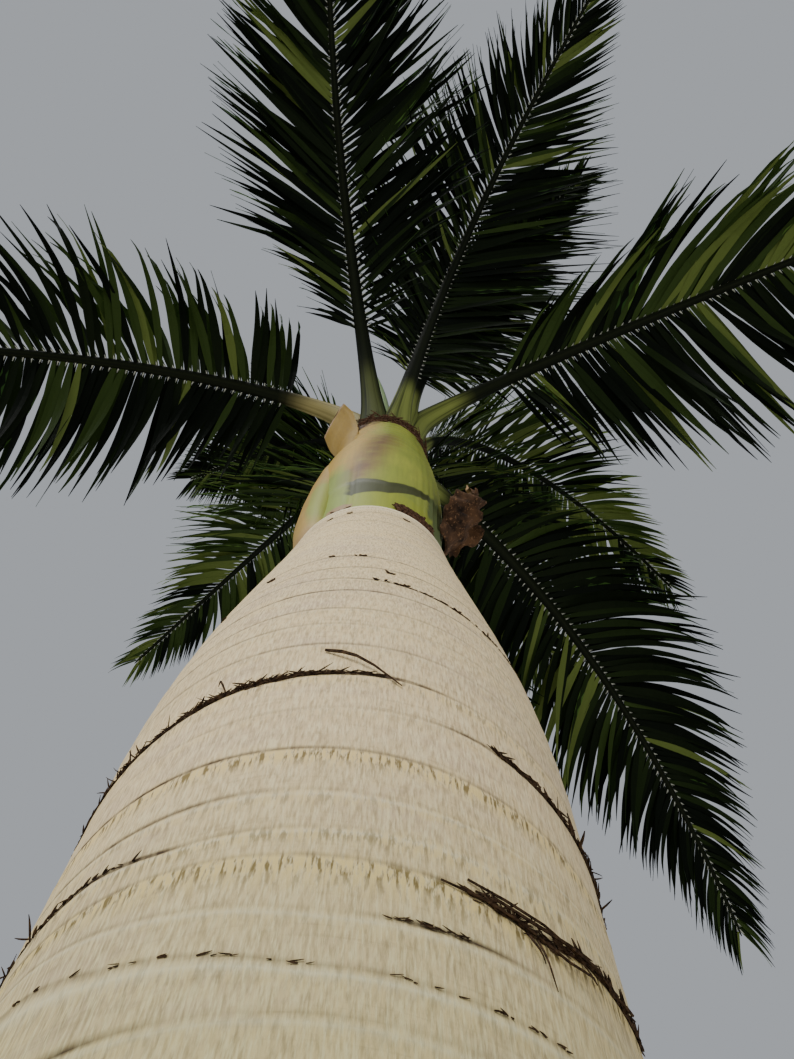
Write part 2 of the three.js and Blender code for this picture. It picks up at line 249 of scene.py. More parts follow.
def bladeRings(centres, face, halfWidths, thickness, fold=0, twist=0):
    # Four corners at each station of a blade: its two edges, and its upper and lower midline
    headings = unit(centres[1:] - centres[:-1])
    axes = unit(np.vstack([headings[:1], headings[:-1] + headings[1:], headings[-1:]]))
    edges = unit(np.cross(axes, face))
    faces = np.cross(edges, axes)
    turns = np.radians(twist) * np.linspace(0, 1, len(centres))[:, None]
    turnedEdges = np.cos(turns) * edges + np.sin(turns) * faces
    faces = np.cos(turns) * faces - np.sin(turns) * edges
    halves = halfWidths[:, None]
    left = centres + turnedEdges * halves - faces * fold * halves
    right = centres - turnedEdges * halves - faces * fold * halves
    depths = np.reshape(thickness, (-1, 1)) / 2
    return np.stack([left, centres + faces * depths, right, centres - faces * depths], axis=1).reshape(-1, 3)


# Strands: dry fibres and twigs that lie round the trunk or the crownshaft. Their widths are shares of their
# radius from foot to tip.
strandShape = {
    "steps": 4, "widths": (0.7, 1, 0.95, 0.7, 0.3), "twigWidths": (0.8, 1, 0.9, 0.75, 0.4),
    # The lowest and highest share of a row's rise, length and so on that a strand can have
    "around": (0.5, 1), "rise": (-0.4, 1), "length": (0.5, 1.5), "radius": (0.6, 1.3), "bend": (-0.5, 0.8),
}
strandHeadings = "height span count spread length radius rise proud"


def strandRow(row, chance, heightAt, radiusAt):
    # Many short strands along a ring, between the two azimuths of its span. Each lifts off towards its tip.
    rings = []

    def vary(part):
        return chance.uniform(*strandShape[part])

    for _ in range(row["count"]):
        azimuth = chance.uniform(*row["span"])
        height = heightAt(azimuth) + chance.gauss(0, row["spread"])
        around = chance.choice((-1, 1)) * vary("around")
        rise = vary("rise") * row["rise"]
        proud = abs(chance.gauss(0, row["proud"]))
        length = vary("length") * row["length"]
        radius = vary("radius") * row["radius"]
        bend = vary("bend") * row["rise"]
        points = []
        for share in np.linspace(0, 1, strandShape["steps"] + 1):
            level = height + length * (rise * share + bend * share ** 2)
            turn = azimuth + degrees(around * length * share / radiusAt(height))
            reach = radiusAt(level) + radius * 0.5 + proud * length * share
            points.append(outward(turn) * reach + upright * level)
        radii = radius * np.array(strandShape["widths"])
        rings.append(bladeRings(np.array(points), np.array(outward(azimuth)), radii, radii * 2))
    return rings


def twig(stations, radius, proud, radiusAt):
    # A longer strand through (azimuth, height) stations, a little clear of the surface in its middle
    shares = np.linspace(0, 1, strandShape["steps"] + 1)
    marks = np.linspace(0, 1, len(stations))
    azimuths, heights = (np.interp(shares, marks, values) for values in zip(*stations))
    points = [
        outward(azimuth) * (radiusAt(height) + radius + proud * sin(pi * share)) + upright * height
        for azimuth, height, share in zip(azimuths, heights, shares)
    ]
    radii = radius * np.array(strandShape["twigWidths"])
    middle = outward(azimuths[strandShape["steps"] // 2])
    return bladeRings(np.array(points), np.array(middle), radii, radii * 2)


# Camera: close to the trunk, looking almost straight up, as the photograph was taken
cameraPlace = {
    "eye": (0, -0.74, 1.5),
    "tilt": 15.395,  # degrees off straight up
    "pan": 4.482,
    "roll": 1.726,
    "focalPixels": 1070,
    "imageHeight": 1059,
    "sensor": 36,
    "nearest": 0.05,
}


def addCamera():
    tilt, pan, roll = (radians(cameraPlace[key]) for key in ("tilt", "pan", "roll"))
    forward = Vector((sin(tilt) * sin(pan), sin(tilt) * cos(pan), cos(tilt)))
    right = Vector((cos(pan), -sin(pan), 0))
    above = right.cross(forward)
    rolledRight = cos(roll) * right + sin(roll) * above
    rolledAbove = cos(roll) * above - sin(roll) * right
    data = bpy.data.cameras.new("camera")
    data.sensor_width = cameraPlace["sensor"]
    data.lens = cameraPlace["sensor"] * cameraPlace["focalPixels"] / cameraPlace["imageHeight"]
    data.clip_start = cameraPlace["nearest"]
    camera = bpy.data.objects.new("camera", data)
    camera.matrix_world = Matrix((rolledRight, rolledAbove, -forward)).transposed().to_4x4()
    camera.location = cameraPlace["eye"]
    bpy.context.scene.collection.objects.link(camera)
    bpy.context.scene.camera = camera


addCamera()
print("camera placed")

# Trunk: a column that tapers under the crownshaft, ringed by the scars of fallen fronds.
# A scar has its height at the front, how dark its line is, how strong the pale band and the ochre dashes
# under it are, and how far it lifts off its height. Darkness and lift can have stations round the trunk.

def ringScar(height, dark, band=0.25, ochre=0.2, lifts=0):
    return {"height": height, "scarLine": dark, "paleBand": band, "yellowing": ochre, "lifts": lifts}


def valueAt(stations, azimuth):
    # One number for all round, or one read between (azimuth, number) stations
    if not isinstance(stations, tuple):
        return stations
    azimuths, values = zip(*stations)
    return float(np.interp(azimuth, azimuths, values, period=360))


trunkShape = {
    "radius": 0.288, "taperLoss": 0.123, "taperFrom": 2.6, "taperLength": 1.4,
    "flareWidth": 0.09, "flareHeight": 0.18,
    "sides": 108, "ringGap": 0.03,
    "frontScars": (
        ringScar(3.69, 0.0, band=1, ochre=0),
        ringScar(3.635, 0.4, band=0.1, lifts=((-150, -0.02), (-90, 0), (-30, 0.01))),
        ringScar(3.525, 0.3, band=0, lifts=((-150, 0.015), (-90, 0), (-30, -0.02))),
        ringScar(3.38, ((-150, 0.3), (-90, 0.05), (-30, 0.35)), band=0),
        ringScar(
            3.105, ((-170, 0.5), (-90, 0.5), (-30, 0.3)), lifts=((-150, -0.05), (-104, 0), (-30, -0.02)),
        ),
        ringScar(3.015, 0.45, lifts=((-150, -0.03), (-90, 0), (-30, 0.01))),
        ringScar(
            2.93, ((-160, 0.25), (-90, 0.45), (-45, 0.8), (0, 0.4)),
            lifts=((-150, 0.02), (-80, 0), (-30, -0.025)),
        ),
        ringScar(2.865, ((-150, 0.7), (-90, 0.5), (-40, 0.15)), lifts=((-150, -0.015), (-90, 0))),
        ringScar(2.775, ((-150, 0.5), (-90, 0.25), (-40, 0.1))),
        ringScar(2.71, ((-150, 0.55), (-90, 0.1), (-40, 0.1)), lifts=((-150, 0.01), (-90, 0))),
        ringScar(2.64, ((-150, 0.3), (-95, 0.35), (-60, 0.1))),
        ringScar(
            2.555, ((-170, 0.9), (-80, 1), (-68, 0.15), (-20, 0.1), (40, 0.7)), band=0.3, ochre=0.45,
            lifts=((-170, -0.055), (-157, -0.046), (-120, -0.012), (-82, 0.004), (-40, 0)),
        ),
        ringScar(
            2.478, ((-160, 0.15), (-75, 0.1), (-60, 0.9), (-20, 1), (30, 0.3)), band=0.15,
            lifts=((-157, -0.03), (-100, -0.01), (-64, 0.004), (-23, -0.003)),
        ),
        ringScar(2.383, ((-150, 0.8), (-120, 0.6), (-90, 0.3), (-30, 0.15)), band=0.15, ochre=0.9),
        ringScar(2.308, ((-150, 0.8), (-125, 0.6), (-100, 0.1), (-30, 0.05)), band=0.7, ochre=0.35),
        ringScar(
            2.25, ((-175, 0.8), (-125, 1), (-112, 0.25), (-95, 0.05), (-30, 0.05), (60, 0.6)), band=0.8,
            ochre=0.5, lifts=((-149, 0.006), (-133, 0.012), (-118, -0.004), (-90, 0), (-30, 0.035)),
        ),
        ringScar(
            2.205, ((-150, 0.4), (-110, 0.15), (-76, 0.2), (-66, 1), (-20, 0.9), (30, 0.3)),
            band=0.2, ochre=1,
            lifts=((-140, 0.012), (-90, 0.004), (-74, 0.004), (-57, -0.009), (-47, 0.018), (-23, 0.034)),
        ),
        ringScar(
            2.142, ((-160, 0.3), (-100, 0.05), (-84, 0.1), (-78, 0.8), (-68, 0.5), (-58, 0.1)), band=0.65,
            lifts=((-140, 0.035), (-110, 0.01), (-90, 0), (-60, 0.006), (-30, 0.02)),
        ),
        ringScar(
            2.0845, ((-170, 0.4), (-120, 0.25), (-90, 0.2), (-30, 0.15)), band=1, ochre=0.25,
            lifts=((-150, 0.058), (-136, 0.052), (-123, 0.029), (-94, 0), (-66, 0), (-30, 0.006)),
        ),
        ringScar(2.04, ((-150, 0.4), (-124, 0.55), (-110, 0.1), (-30, 0.1)), band=0.6),
        ringScar(1.99, 0.3, band=0.5, ochre=0.3),
    ),
    "lowerGap": 0.056, "lowerGapSpread": 0.35, "lowestScar": 0.1,
    # How far under its scar each mark is at its strongest, and how high it reaches
    "marks": {"scarLine": (0, 0.003), "paleBand": (0.009, 0.0036), "yellowing": (0.013, 0.013)},
    "grooveDepth": 0.0009, "bandRise": 0.0004,
    "rimPaleness": 1.33, "rimDepths": (0.02, 0.012),
    "waver": 0.0008,
    "waves": ((1, 2, 7), (0.6, 5, 23), (0.3, 17, 9)),  # size, waves round, climb
    "stillFoot": 0.3, "stillTop": 0.12,
    "nearScar": 0.035, "clearOfScars": 0.02, "leastStep": 0.0008,
    "fineOffsets": (-0.024, -0.018, -0.013, -0.009, -0.005, -0.002, 0, 0.002, 0.005, 0.01),
    "coarseOffsets": (-0.018, -0.009, -0.002, 0.002, 0.008),
    "fineAbove": 1.7, "seed": 5,
}


def trunkScars():
    chance = random.Random(trunkShape["seed"])
    rings = list(trunkShape["frontScars"])
    height = rings[-1]["height"]
    while height > trunkShape["lowestScar"] + trunkShape["lowerGap"]:
        height -= trunkShape["lowerGap"] * (1 + trunkShape["lowerGapSpread"] * chance.uniform(-1, 1))
        dark = tuple((azimuth, chance.uniform(0.03, 0.38)) for azimuth in (-150, -60, 60))
        rings.append(ringScar(height, dark, band=chance.uniform(0.1, 0.9), ochre=chance.uniform(0.1, 0.8)))
    return rings


def trunkRadiusAt(height):
    taper = smoothstep(height, trunkShape["taperFrom"], trunkShape["taperFrom"] + trunkShape["taperLength"])
    flare = trunkShape["flareWidth"] * exp(-height / trunkShape["flareHeight"])
    return trunkShape["radius"] - trunkShape["taperLoss"] * taper + flare


def scarsNear(height):
    return [scar for scar in scars if abs(scar["height"] - height) < trunkShape["nearScar"]]


@functools.lru_cache(maxsize=None)
def liftsAt(azimuth):
    # How far the rings lie off their heights at an azimuth, from the ground up to the trunk's top
    return [0] + [valueAt(scar["lifts"], azimuth) for scar in reversed(scars)] + [0]


def trunkLift(azimuth, height):
    turn = radians(azimuth + 90)
    waver = trunkShape["waver"] * sum(
        size * (sin(turn * around + height * climb) - sin(height * climb))
        for size, around, climb in trunkShape["waves"]
    )
    waver *= smoothstep(height, 0, trunkShape["stillFoot"])
    waver *= smoothstep(trunkTop, height, height + trunkShape["stillTop"])
    return float(np.interp(height, scarHeights, liftsAt(azimuth))) + waver


def markAt(mark, scar, height):
    drop, reach = trunkShape["marks"][mark]
    return bell(height - scar["height"], -drop, reach)


def trunkRelief(azimuth, height):
    # A fine groove at each scar, and the pale smooth band just under it
    relief = 0
    for scar in scarsNear(height):
        dark = valueAt(scar["scarLine"], azimuth) * markAt("scarLine", scar, height)
        relief += trunkShape["bandRise"] * markAt("paleBand", scar, height) - trunkShape["grooveDepth"] * dark
    return relief


def trunkStations():
    heights = [0, trunkTop]
    for scar in scars:
        fine = scar["height"] > trunkShape["fineAbove"]
        offsets = trunkShape["fineOffsets"] if fine else trunkShape["coarseOffsets"]
        heights += [scar["height"] + offset for offset in offsets]
    for step in range(int(trunkTop / trunkShape["ringGap"])):
        height = step * trunkShape["ringGap"]
        if all(abs(height - scar["height"]) > trunkShape["clearOfScars"] for scar in scars):
            heights.append(height)
    heights = sorted(height for height in heights if 0 <= height <= trunkTop)
    return [0] + [high for low, high in zip(heights, heights[1:]) if high - low > trunkShape["leastStep"]]


def addTrunk():
    heights = trunkStations()

    def levelAt(share):
        return heights[round(share * (len(heights) - 1))]

    def place(turn, share):
        azimuth = turn * 360
        height = levelAt(share)
        lifted = height + trunkLift(azimuth, height)
        return outward(azimuth) * (trunkRadiusAt(lifted) + trunkRelief(azimuth, height)) + upright * lifted

    def strongest(mark, point, share):
        height, azimuth = levelAt(share), azimuthOf(point)
        marks = (valueAt(scar[mark], azimuth) * markAt(mark, scar, height) for scar in scarsNear(height))
        return max(marks, default=0)

    def paleBand(point, share):
        # The bands under the scars, and the trunk's pale rim
        low, high = (trunkTop - depth for depth in trunkShape["rimDepths"])
        rim = trunkShape["rimPaleness"] * smoothstep(levelAt(share), low, high)
        return max(rim, strongest("paleBand", point, share))

    bm = rolledGrid(dict(trunkShape, steps=len(heights) - 1), place)
    paint(bm, "scarLine", functools.partial(strongest, "scarLine"))
    paint(bm, "paleBand", paleBand)
    paint(bm, "yellowing", functools.partial(strongest, "yellowing"))
    addPiece("trunk_bark", bm, barkMaterial(), ("trunk",))


barkColours = {
    "cream": rgb(0.90, 0.69, 0.37),
    "greyCream": rgb(0.80, 0.62, 0.35),
    "mauve": rgb(0.68, 0.52, 0.35),
    "streak": rgb(0.40, 0.30, 0.165),
    "thread": rgb(0.92, 0.77, 0.46),
    "pale": rgb(0.92, 0.82, 0.58),
    "yellow": rgb(0.88, 0.66, 0.29),
    "olive": rgb(0.27, 0.195, 0.075),
    "scar": rgb(0.075, 0.045, 0.024),
    "lower": rgb(0.70, 0.76, 0.66),
}


def barkMaterial():
    material = newMaterial("bark", 0.85, 0.15)
    tones = barkColours
    colour = tinted(tones["cream"], tones["greyCream"], noise(material, 2.2, detail=3), 0.4, 0.62)
    mottle = noise(material, 6, stretch=(1, 1, 2.2))
    colour = tinted(colour, tones["mauve"], mottle, 0.5, 0.66, 0.8)
    colour = tinted(colour, tones["streak"], fibres(material, 9, 130), 0.54, 0.74, 0.45)
    streaks = fibres(material, 330, 48, detail=5)
    colour = tinted(colour, tones["streak"], streaks, 0.42, 0.66, 0.7)
    colour = tinted(colour, tones["thread"], fibres(material, 400, 44), 0.46, 0.66, 0.9)
    colour = blend(times(attribute(material, "paleBand"), 0.75), colour, tones["pale"])
    dashes = fibres(material, 240, 36, detail=3)
    yellowing = remap(attribute(material, "yellowing"), 0, 0.75)
    bright = times(yellowing, remap(dashes, 0.47, 0.55))
    colour = blend(bright, colour, tones["yellow"])
    dull = times(yellowing, remap(dashes, 0.49, 0.4))
    colour = blend(dull, colour, tones["olive"])
    breaks = remap(noise(material, 44, stretch=(1, 1, 0.5), detail=6), 0.34, 0.6, 0.4, 1)
    line = times(remap(attribute(material, "scarLine"), 0, 0.5), breaks)
    colour = blend(line, colour, tones["scar"])
    # Darker and a little greener further down
    split = addNode(material.node_tree, "ShaderNodeSeparateXYZ", {"Vector": coordinates(material)})
    colour = blend(remap(split.outputs["Z"], 2.45, 1.95), colour, tones["lower"], "MULTIPLY")
    return finishMaterial(material, colour, streaks, 0.0014, 0.6)


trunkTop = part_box("trunk")[1].z
scars = trunkScars()
scarHeights = [0] + [scar["height"] for scar in reversed(scars)] + [trunkTop]
addTrunk()
print("trunk made, with", len(scars), "scars")

# Frayed fibres left at some scars: rows of short strands, small dark tags, and longer twigs
frayRows = rowsOf(strandHeadings, (
    (2.555, (-167, -86), 330, 0.002, 0.013, 0.0009, 0.3, 0.12),
    (2.555, (-128, -98), 120, 0.0024, 0.014, 0.001, 0.6, 0.2),
    (2.555, (-163, -100), 30, 0.002, 0.012, 0.001, 1, 0.5),
    (2.478, (-60, -8), 260, 0.002, 0.014, 0.001, 0.3, 0.15),
    (2.478, (-36, -14), 16, 0.003, 0.015, 0.0014, 0.5, 0.45),
    (2.25, (-178, -124), 90, 0.0014, 0.011, 0.0008, 0.25, 0.12),
    (2.25, (-163, -145), 6, 0.002, 0.022, 0.001, 1, 0.7),
    (2.205, (-70, -24), 240, 0.0028, 0.014, 0.001, 0.4, 0.15),
    (2.0845, (-150, -30), 50, 0.0008, 0.008, 0.0007, 0.15, 0.08),
    (2.142, (-82, -70), 24, 0.0009, 0.01, 0.0007, 0.15, 0.08),
    (2.93, (-84, -24), 70, 0.0009, 0.008, 0.0008, 0.15, 0.08),
    (2.555, (20, 190), 150, 0.002, 0.013, 0.0009, 0.3, 0.12),
))
tagShape = {
    "halfSpan": 1.5, "count": 7, "spread": 0.0016,
    "length": 0.007, "radius": 0.0013, "rise": 0.3, "proud": 0.2,
}
darkTags = (
    (-125, 3.075), (-104, 3.105), (-94, 3.104), (-87, 2.93), (-80, 2.93), (-63, 2.926), (-51, 2.92),
    (-120, 3.63), (-106, 3.64), (-70, 3.63), (-141, 3.0), (-84, 2.99),
)
# Stations of azimuth and height, then the twig's radius and how far its middle stands off
twigs = (
    (((-98, 2.613), (-93, 2.598), (-89, 2.582), (-81, 2.539)), 0.0022, 0.004),
    (((-70, 2.220), (-62, 2.207), (-52, 2.208), (-45, 2.209)), 0.0013, 0.005),
    (((-66, 2.212), (-57, 2.197), (-47, 2.212), (-38, 2.226)), 0.0016, 0.006),
    (((-74.5, 2.206), (-66, 2.198), (-59, 2.191), (-54, 2.194)), 0.0012, 0.003),
    (((-56, 2.196), (-51, 2.184), (-47, 2.196), (-44, 2.204)), 0.0012, 0.005),
    (((-58, 2.192), (-57.5, 2.172), (-57, 2.157), (-55.5, 2.144)), 0.001, 0.004),
    (((-60, 2.192), (-59, 2.179), (-58, 2.173), (-57, 2.168)), 0.001, 0.003),
    (((-38, 2.226), (-33, 2.226), (-31, 2.234), (-30.5, 2.252)), 0.0013, 0.004),
    (((-119, 2.553), (-119.5, 2.563), (-120, 2.569), (-121.5, 2.577)), 0.0012, 0.008),
)


def fibreMaterial(name, dark, light):
    material = newMaterial(name, 0.9, 0.12)
    grain = noise(material, 190, detail=3)
    return finishMaterial(material, tinted(dark, light, grain, 0.35, 0.65), grain, 0.0008, 0.4)


def onTrunk(azimuth, height):
    return height + trunkLift(azimuth, height)


def addFrays():
    chance = random.Random("frays")
    rings = []
    for row in frayRows:
        rings += strandRow(row, chance, lambda azimuth: onTrunk(azimuth, row["height"]), trunkRadiusAt)
    for azimuth, height in darkTags:
        tag = dict(tagShape, span=(azimuth - tagShape["halfSpan"], azimuth + tagShape["halfSpan"]))
        rings += strandRow(tag, chance, lambda _: onTrunk(azimuth, height), trunkRadiusAt)
    rings += [twig(*each, trunkRadiusAt) for each in twigs]
    addCopies("trunk_frays", rings, [], [dryFibre])
    return len(rings)


dryFibre = fibreMaterial("dry_fibre", rgb(0.018, 0.010, 0.006), rgb(0.10, 0.058, 0.03))
print("frayed scars made, with", addFrays(), "strands")

# Crownshaft: the smooth tube of leaf sheaths, swelling over the green ring at its foot
shaftShape = {
    "footRadius": 0.166, "bellyRadius": 0.177, "neckRadius": 0.143, "belly": 0.46,
    "sides": 144, "steps": 190,
    "ledge": ((-130, 4.03), (-109, 4.03), (-82, 4.0), (-52, 4.075), (-35, 4.13), (0, 4.12), (180, 4.03)),
    "ledgeSoftness": 0.03, "ledgeDepth": 0.003,
    "foldAzimuth": -30, "foldSpread": 22, "foldDepth": 0.0042, "foldsAround": 46,
    "wrinkleAzimuth": -70, "wrinkleSpread": 45, "wrinkleDepth": 0.0034, "wrinkleElsewhere": 0.35,
    "wrinklesUp": 100, "wrinkledFrom": (4.35, 4.7),
    "waistAzimuth": -165, "waistSpread": 55, "waistDepth": 0.024, "waistHeight": 4.86, "waistSoftness": 0.2,
    "seamAzimuth": -113, "seamSpread": 2.2, "seamDepth": 0.004, "seamFade": (4.1, 4.35),
    "slantFrom": 4.3,
}
shaftFoot, shaftTop = (corner.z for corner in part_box("crownshaft"))


def shaftRadiusAt(height):
    share = (height - shaftFoot) / (shaftTop - shaftFoot)
    if share < shaftShape["belly"]:
        swell = smootherstep(share, 0, shaftShape["belly"])
        return mix(shaftShape["footRadius"], shaftShape["bellyRadius"], swell)
    return mix(shaftShape["bellyRadius"], shaftShape["neckRadius"], smoothstep(share, shaftShape["belly"], 1))


def shaftPoint(turn, share):
    shape = shaftShape
    azimuth = turn * 360
    height = mix(shaftFoot, shaftTop, share)
    point = outward(azimuth)

    def near(part):
        return bell(azimuthFrom(point, shape[part + "Azimuth"]), 0, shape[part + "Spread"])

    # The ledge is the outer sheath's lower edge, which climbs to its seam on the right
    ledge = valueAt(shape["ledge"], azimuth)
    under = 1 - smoothstep(height, ledge - shape["ledgeSoftness"], ledge)
    fold = sin(radians(azimuth * shape["foldsAround"])) * near("fold") * (1 - share)
    wrinkled = smoothstep(height, *shape["wrinkledFrom"]) * mix(shape["wrinkleElsewhere"], 1, near("wrinkle"))
    uneven = sin(turn * 25) * 2.4 + sin(turn * 61)
    wrinkle = sin(height * shape["wrinklesUp"] + uneven) * wrinkled
    waist = near("waist") * bell(height, shape["waistHeight"], shape["waistSoftness"])
    seam = near("seam") * (1 - smoothstep(height, *shape["seamFade"]))
    radius = shaftRadiusAt(height) - shape["ledgeDepth"] * under - shape["waistDepth"] * waist
    radius += shape["foldDepth"] * fold + shape["wrinkleDepth"] * wrinkle - shape["seamDepth"] * seam
    return point * radius + upright * height


# Patches of colour on the crownshaft, in the order in which they cover each other: the middle of each round
# the shaft, how many degrees that turns for each metre up, how far the patch reaches to both sides, where it
# begins and ends, all round or by stations, how soft its sides and ends are, and how ragged and blurred
shaftPatches = rowsOf("name azimuth slant reach foot top soft softHeight ragged blur colour", (
    ("strip", -85, 0, 62, 3.5, 3.93, 14, 0.03, 0.3, 0.2, rgb(0.33, 0.37, 0.03)),
    ("tan", -165, 0, 64, ((-165, 4.24), (-125, 4.24), (-108, 4.04), (-60, 4.04)), 5.3, 24, 0.16, 0.35, 0.35,
     rgb(0.58, 0.36, 0.06)),
    ("leftGreen", -127, 0, 13, 3.78, 4.14, 5, 0.08, 0.35, 0.2, rgb(0.29, 0.37, 0.05)),
    ("purple", -99, 40, 11, 3.98, 4.66, 22, 0.14, 0.3, 0.4, rgb(0.20, 0.105, 0.04)),
    # The shade patch is painted shadow under the outer sheath's ledge
    ("shade", -76, 0, 42, ((-130, 3.93), (-109, 3.9), (-82, 3.91), (-52, 4.02), (-35, 4.1)),
     shaftShape["ledge"], 10, 0.014, 0.3, 0.2, rgb(0.046, 0.050, 0.006)),
    ("folds", -22, 0, 20, 3.5, 4.2, 12, 0.15, 0.5, 0.2, rgb(0.13, 0.165, 0.05)),
    ("brownFoot", -60, 0, 15, 3.77, 3.84, 3, 0.02, 0.9, 0.2, rgb(0.10, 0.045, 0.03)),
    ("neck", -95, 0, 60, 4.99, 5.3, 10, 0.045, 0.8, 0.2, rgb(0.17, 0.085, 0.045)),
    ("leftBrown", -122, 0, 12, 3.5, 3.83, 4, 0.02, 0.6, 0.2, rgb(0.40, 0.25, 0.11)),
    ("rim", -90, 0, 50, 3.5, 3.752, 8, 0.006, 0.4, 0.2, rgb(0.09, 0.05, 0.025)),
))
sheathColours = {
    "green": rgb(0.27, 0.32, 0.04),
    "yellowGreen": rgb(0.40, 0.43, 0.055),
    "grain": rgb(0.12, 0.13, 0.04),
}


def patchShare(patch, point, _):
    # How much of a patch's colour a point of the shaft has
    azimuth = azimuthOf(point)
    foot, top, soft = valueAt(patch["foot"], azimuth), valueAt(patch["top"], azimuth), patch["softHeight"]
    middle = patch["azimuth"] + patch["slant"] * (point.z - shaftShape["slantFrom"])
    turn = abs(azimuthFrom(point, middle))
    across = 1 - smoothstep(turn, patch["reach"] - patch["soft"], patch["reach"] + patch["soft"])
    rising = smoothstep(point.z, foot - soft, foot + soft)
    return across * rising * (1 - smoothstep(point.z, top - soft, top + soft))


def sheathMaterial():
    material = newMaterial("leaf_sheath", 0.5, 0.3)
    tones = sheathColours
    mottle = noise(material, 9, stretch=(1, 1, 0.5), detail=5)
    colour = tinted(tones["green"], tones["yellowGreen"], mottle, 0.35, 0.65)
    edge = noise(material, 16, detail=6)
    for patch in shaftPatches:
        ragged = remap(edge, 0.3, 0.7, 1 - patch["ragged"], 1 + patch["ragged"])
        share = times(attribute(material, patch["name"]), ragged)
        colour = tinted(colour, patch["colour"], share, 0.5 - patch["blur"], 0.5 + patch["blur"])
    grain = fibres(material, 120, 7)
    colour = tinted(colour, tones["grain"], grain, 0.35, 0.8, 0.3)
    return finishMaterial(material, colour, grain, 0.0008, 0.4)


def addCrownshaft():
    bm = rolledGrid(shaftShape, shaftPoint)
    for patch in shaftPatches:
        paint(bm, patch["name"], functools.partial(patchShare, patch))
    addPiece("crownshaft_sheaths", bm, leafSheath, ("crownshaft",))


leafSheath = sheathMaterial()
addCrownshaft()

# Old sheath on the left: its swollen foot hangs over the trunk, and its top flares under the left frond
lobeShape = {
    "azimuth": 203,
    "heights": (3.69, 3.76, 3.88, 4.06, 4.26, 4.46, 4.66),
    "reaches": (0.165, 0.185, 0.195, 0.195, 0.19, 0.18, 0.16),
    "halfWidths": (0.03, 0.05, 0.062, 0.064, 0.058, 0.046, 0.03),
    "depth": 0.075, "roundFoot": 0.09, "folds": 6, "foldDepth": 0.0016, "tilt": 0.02,
    "greenHeight": 0.3, "greenReach": 0.2, "greenSide": (4, 14), "paleFoot": 0.8, "paleFade": (0.02, 0.1),
    "sides": 40, "steps": 64,
}
flapShape = {
    "azimuth": 204,
    "heights": (4.66, 4.85, 5.0, 5.14, 5.26),
    "reaches": (0.140, 0.136, 0.145, 0.172, 0.202),
    "halfWidths": (0.02, 0.05, 0.07, 0.08, 0.07),
    "thickness": 0.016, "tuck": 0.014, "flare": 0.012, "flaring": (0.3, 0.9),
    "raggedness": ((0.012, 4), (0.004, 23)),  # height and waves
    "paleRim": (0.97, 0.99), "sides": 44, "steps": 60,
}


def levelOf(shape, share):
    return mix(shape["heights"][0], shape["heights"][-1], share)


def shapedAt(shape, key, height):
    return float(np.interp(height, shape["heights"], shape[key]))


def lobePoint(turn, share):
    shape = lobeShape
    height = levelOf(shape, share)
    angle = turn * tau
    rounding = sqrt(1 - (1 - min(share / shape["roundFoot"], 1)) ** 2)
    halfWidth = shapedAt(shape, "halfWidths", height) * rounding
    depth = shape["depth"] / 2
    reach = shapedAt(shape, "reaches", height) - depth + depth * rounding * cos(angle)
    fold = shape["foldDepth"] * sin(angle * shape["folds"] + share * 5) * rounding
    side = outward(shape["azimuth"] + 90) * halfWidth * sin(angle)
    level = height + shape["tilt"] * cos(angle) * (1 - share)
    return outward(shape["azimuth"]) * reach * (1 + fold) + side + upright * level


def flapPoint(turn, share):
    shape = flapShape
    height = levelOf(shape, share)
    angle = turn * tau
    across = cos(angle)
    reach = shapedAt(shape, "reaches", height)
    spread = degrees(across * shapedAt(shape, "halfWidths", height) / reach)
    edge = across ** 2 * mix(-shape["tuck"], shape["flare"], smoothstep(share, *shape["flaring"]))
    skin = shape["thickness"] * (1 - 0.5 * share) * sin(angle) / 2
    ragged = sum(size * share * sin(across * waves) for size, waves in shape["raggedness"])
    return outward(shape["azimuth"] + spread) * (reach + edge + skin) + upright * (height + ragged)


def oldSheathMaterial():
    # Tan, greener over the swollen foot, with a pinkish end and a pale torn rim
    material = newMaterial("old_sheath", 0.6, 0.25)
    mottle = noise(material, 11, stretch=(1, 1, 0.6), detail=5)
    colour = tinted(rgb(0.42, 0.26, 0.05), rgb(0.50, 0.33, 0.09), mottle, 0.35, 0.65)
    green = times(attribute(material, "greening"), remap(mottle, 0.25, 0.55, 0.5, 1.3))
    colour = tinted(colour, rgb(0.32, 0.35, 0.06), green, 0.25, 0.75)
    colour = blend(attribute(material, "paleRim"), colour, rgb(0.62, 0.42, 0.26))
    grain = fibres(material, 120, 7)
    colour = tinted(colour, rgb(0.28, 0.18, 0.09), grain, 0.4, 0.8, 0.35)
    return finishMaterial(material, colour, grain, 0.0009, 0.45)


def addOldSheath():
    shape = lobeShape

    def greening(point, share):
        side = smoothstep(azimuthFrom(point, shape["azimuth"]), *shape["greenSide"])
        return bell(share, shape["greenHeight"], shape["greenReach"]) * side

    lobe = rolledGrid(shape, lobePoint)
    paint(lobe, "greening", greening)
    paint(lobe, "paleRim", lambda _, share: shape["paleFoot"] * (1 - smoothstep(share, *shape["paleFade"])))
    addPiece("old_sheath_foot", lobe, oldSheath, ("sheath_lobe",))
    flap = rolledGrid(flapShape, flapPoint)
    paint(flap, "greening", lambda *_: 0)
    paint(flap, "paleRim", lambda _, share: smoothstep(share, *flapShape["paleRim"]))
    addPiece("old_sheath_top", flap, oldSheath, ("sheath_flap",))


oldSheath = oldSheathMaterial()
addOldSheath()

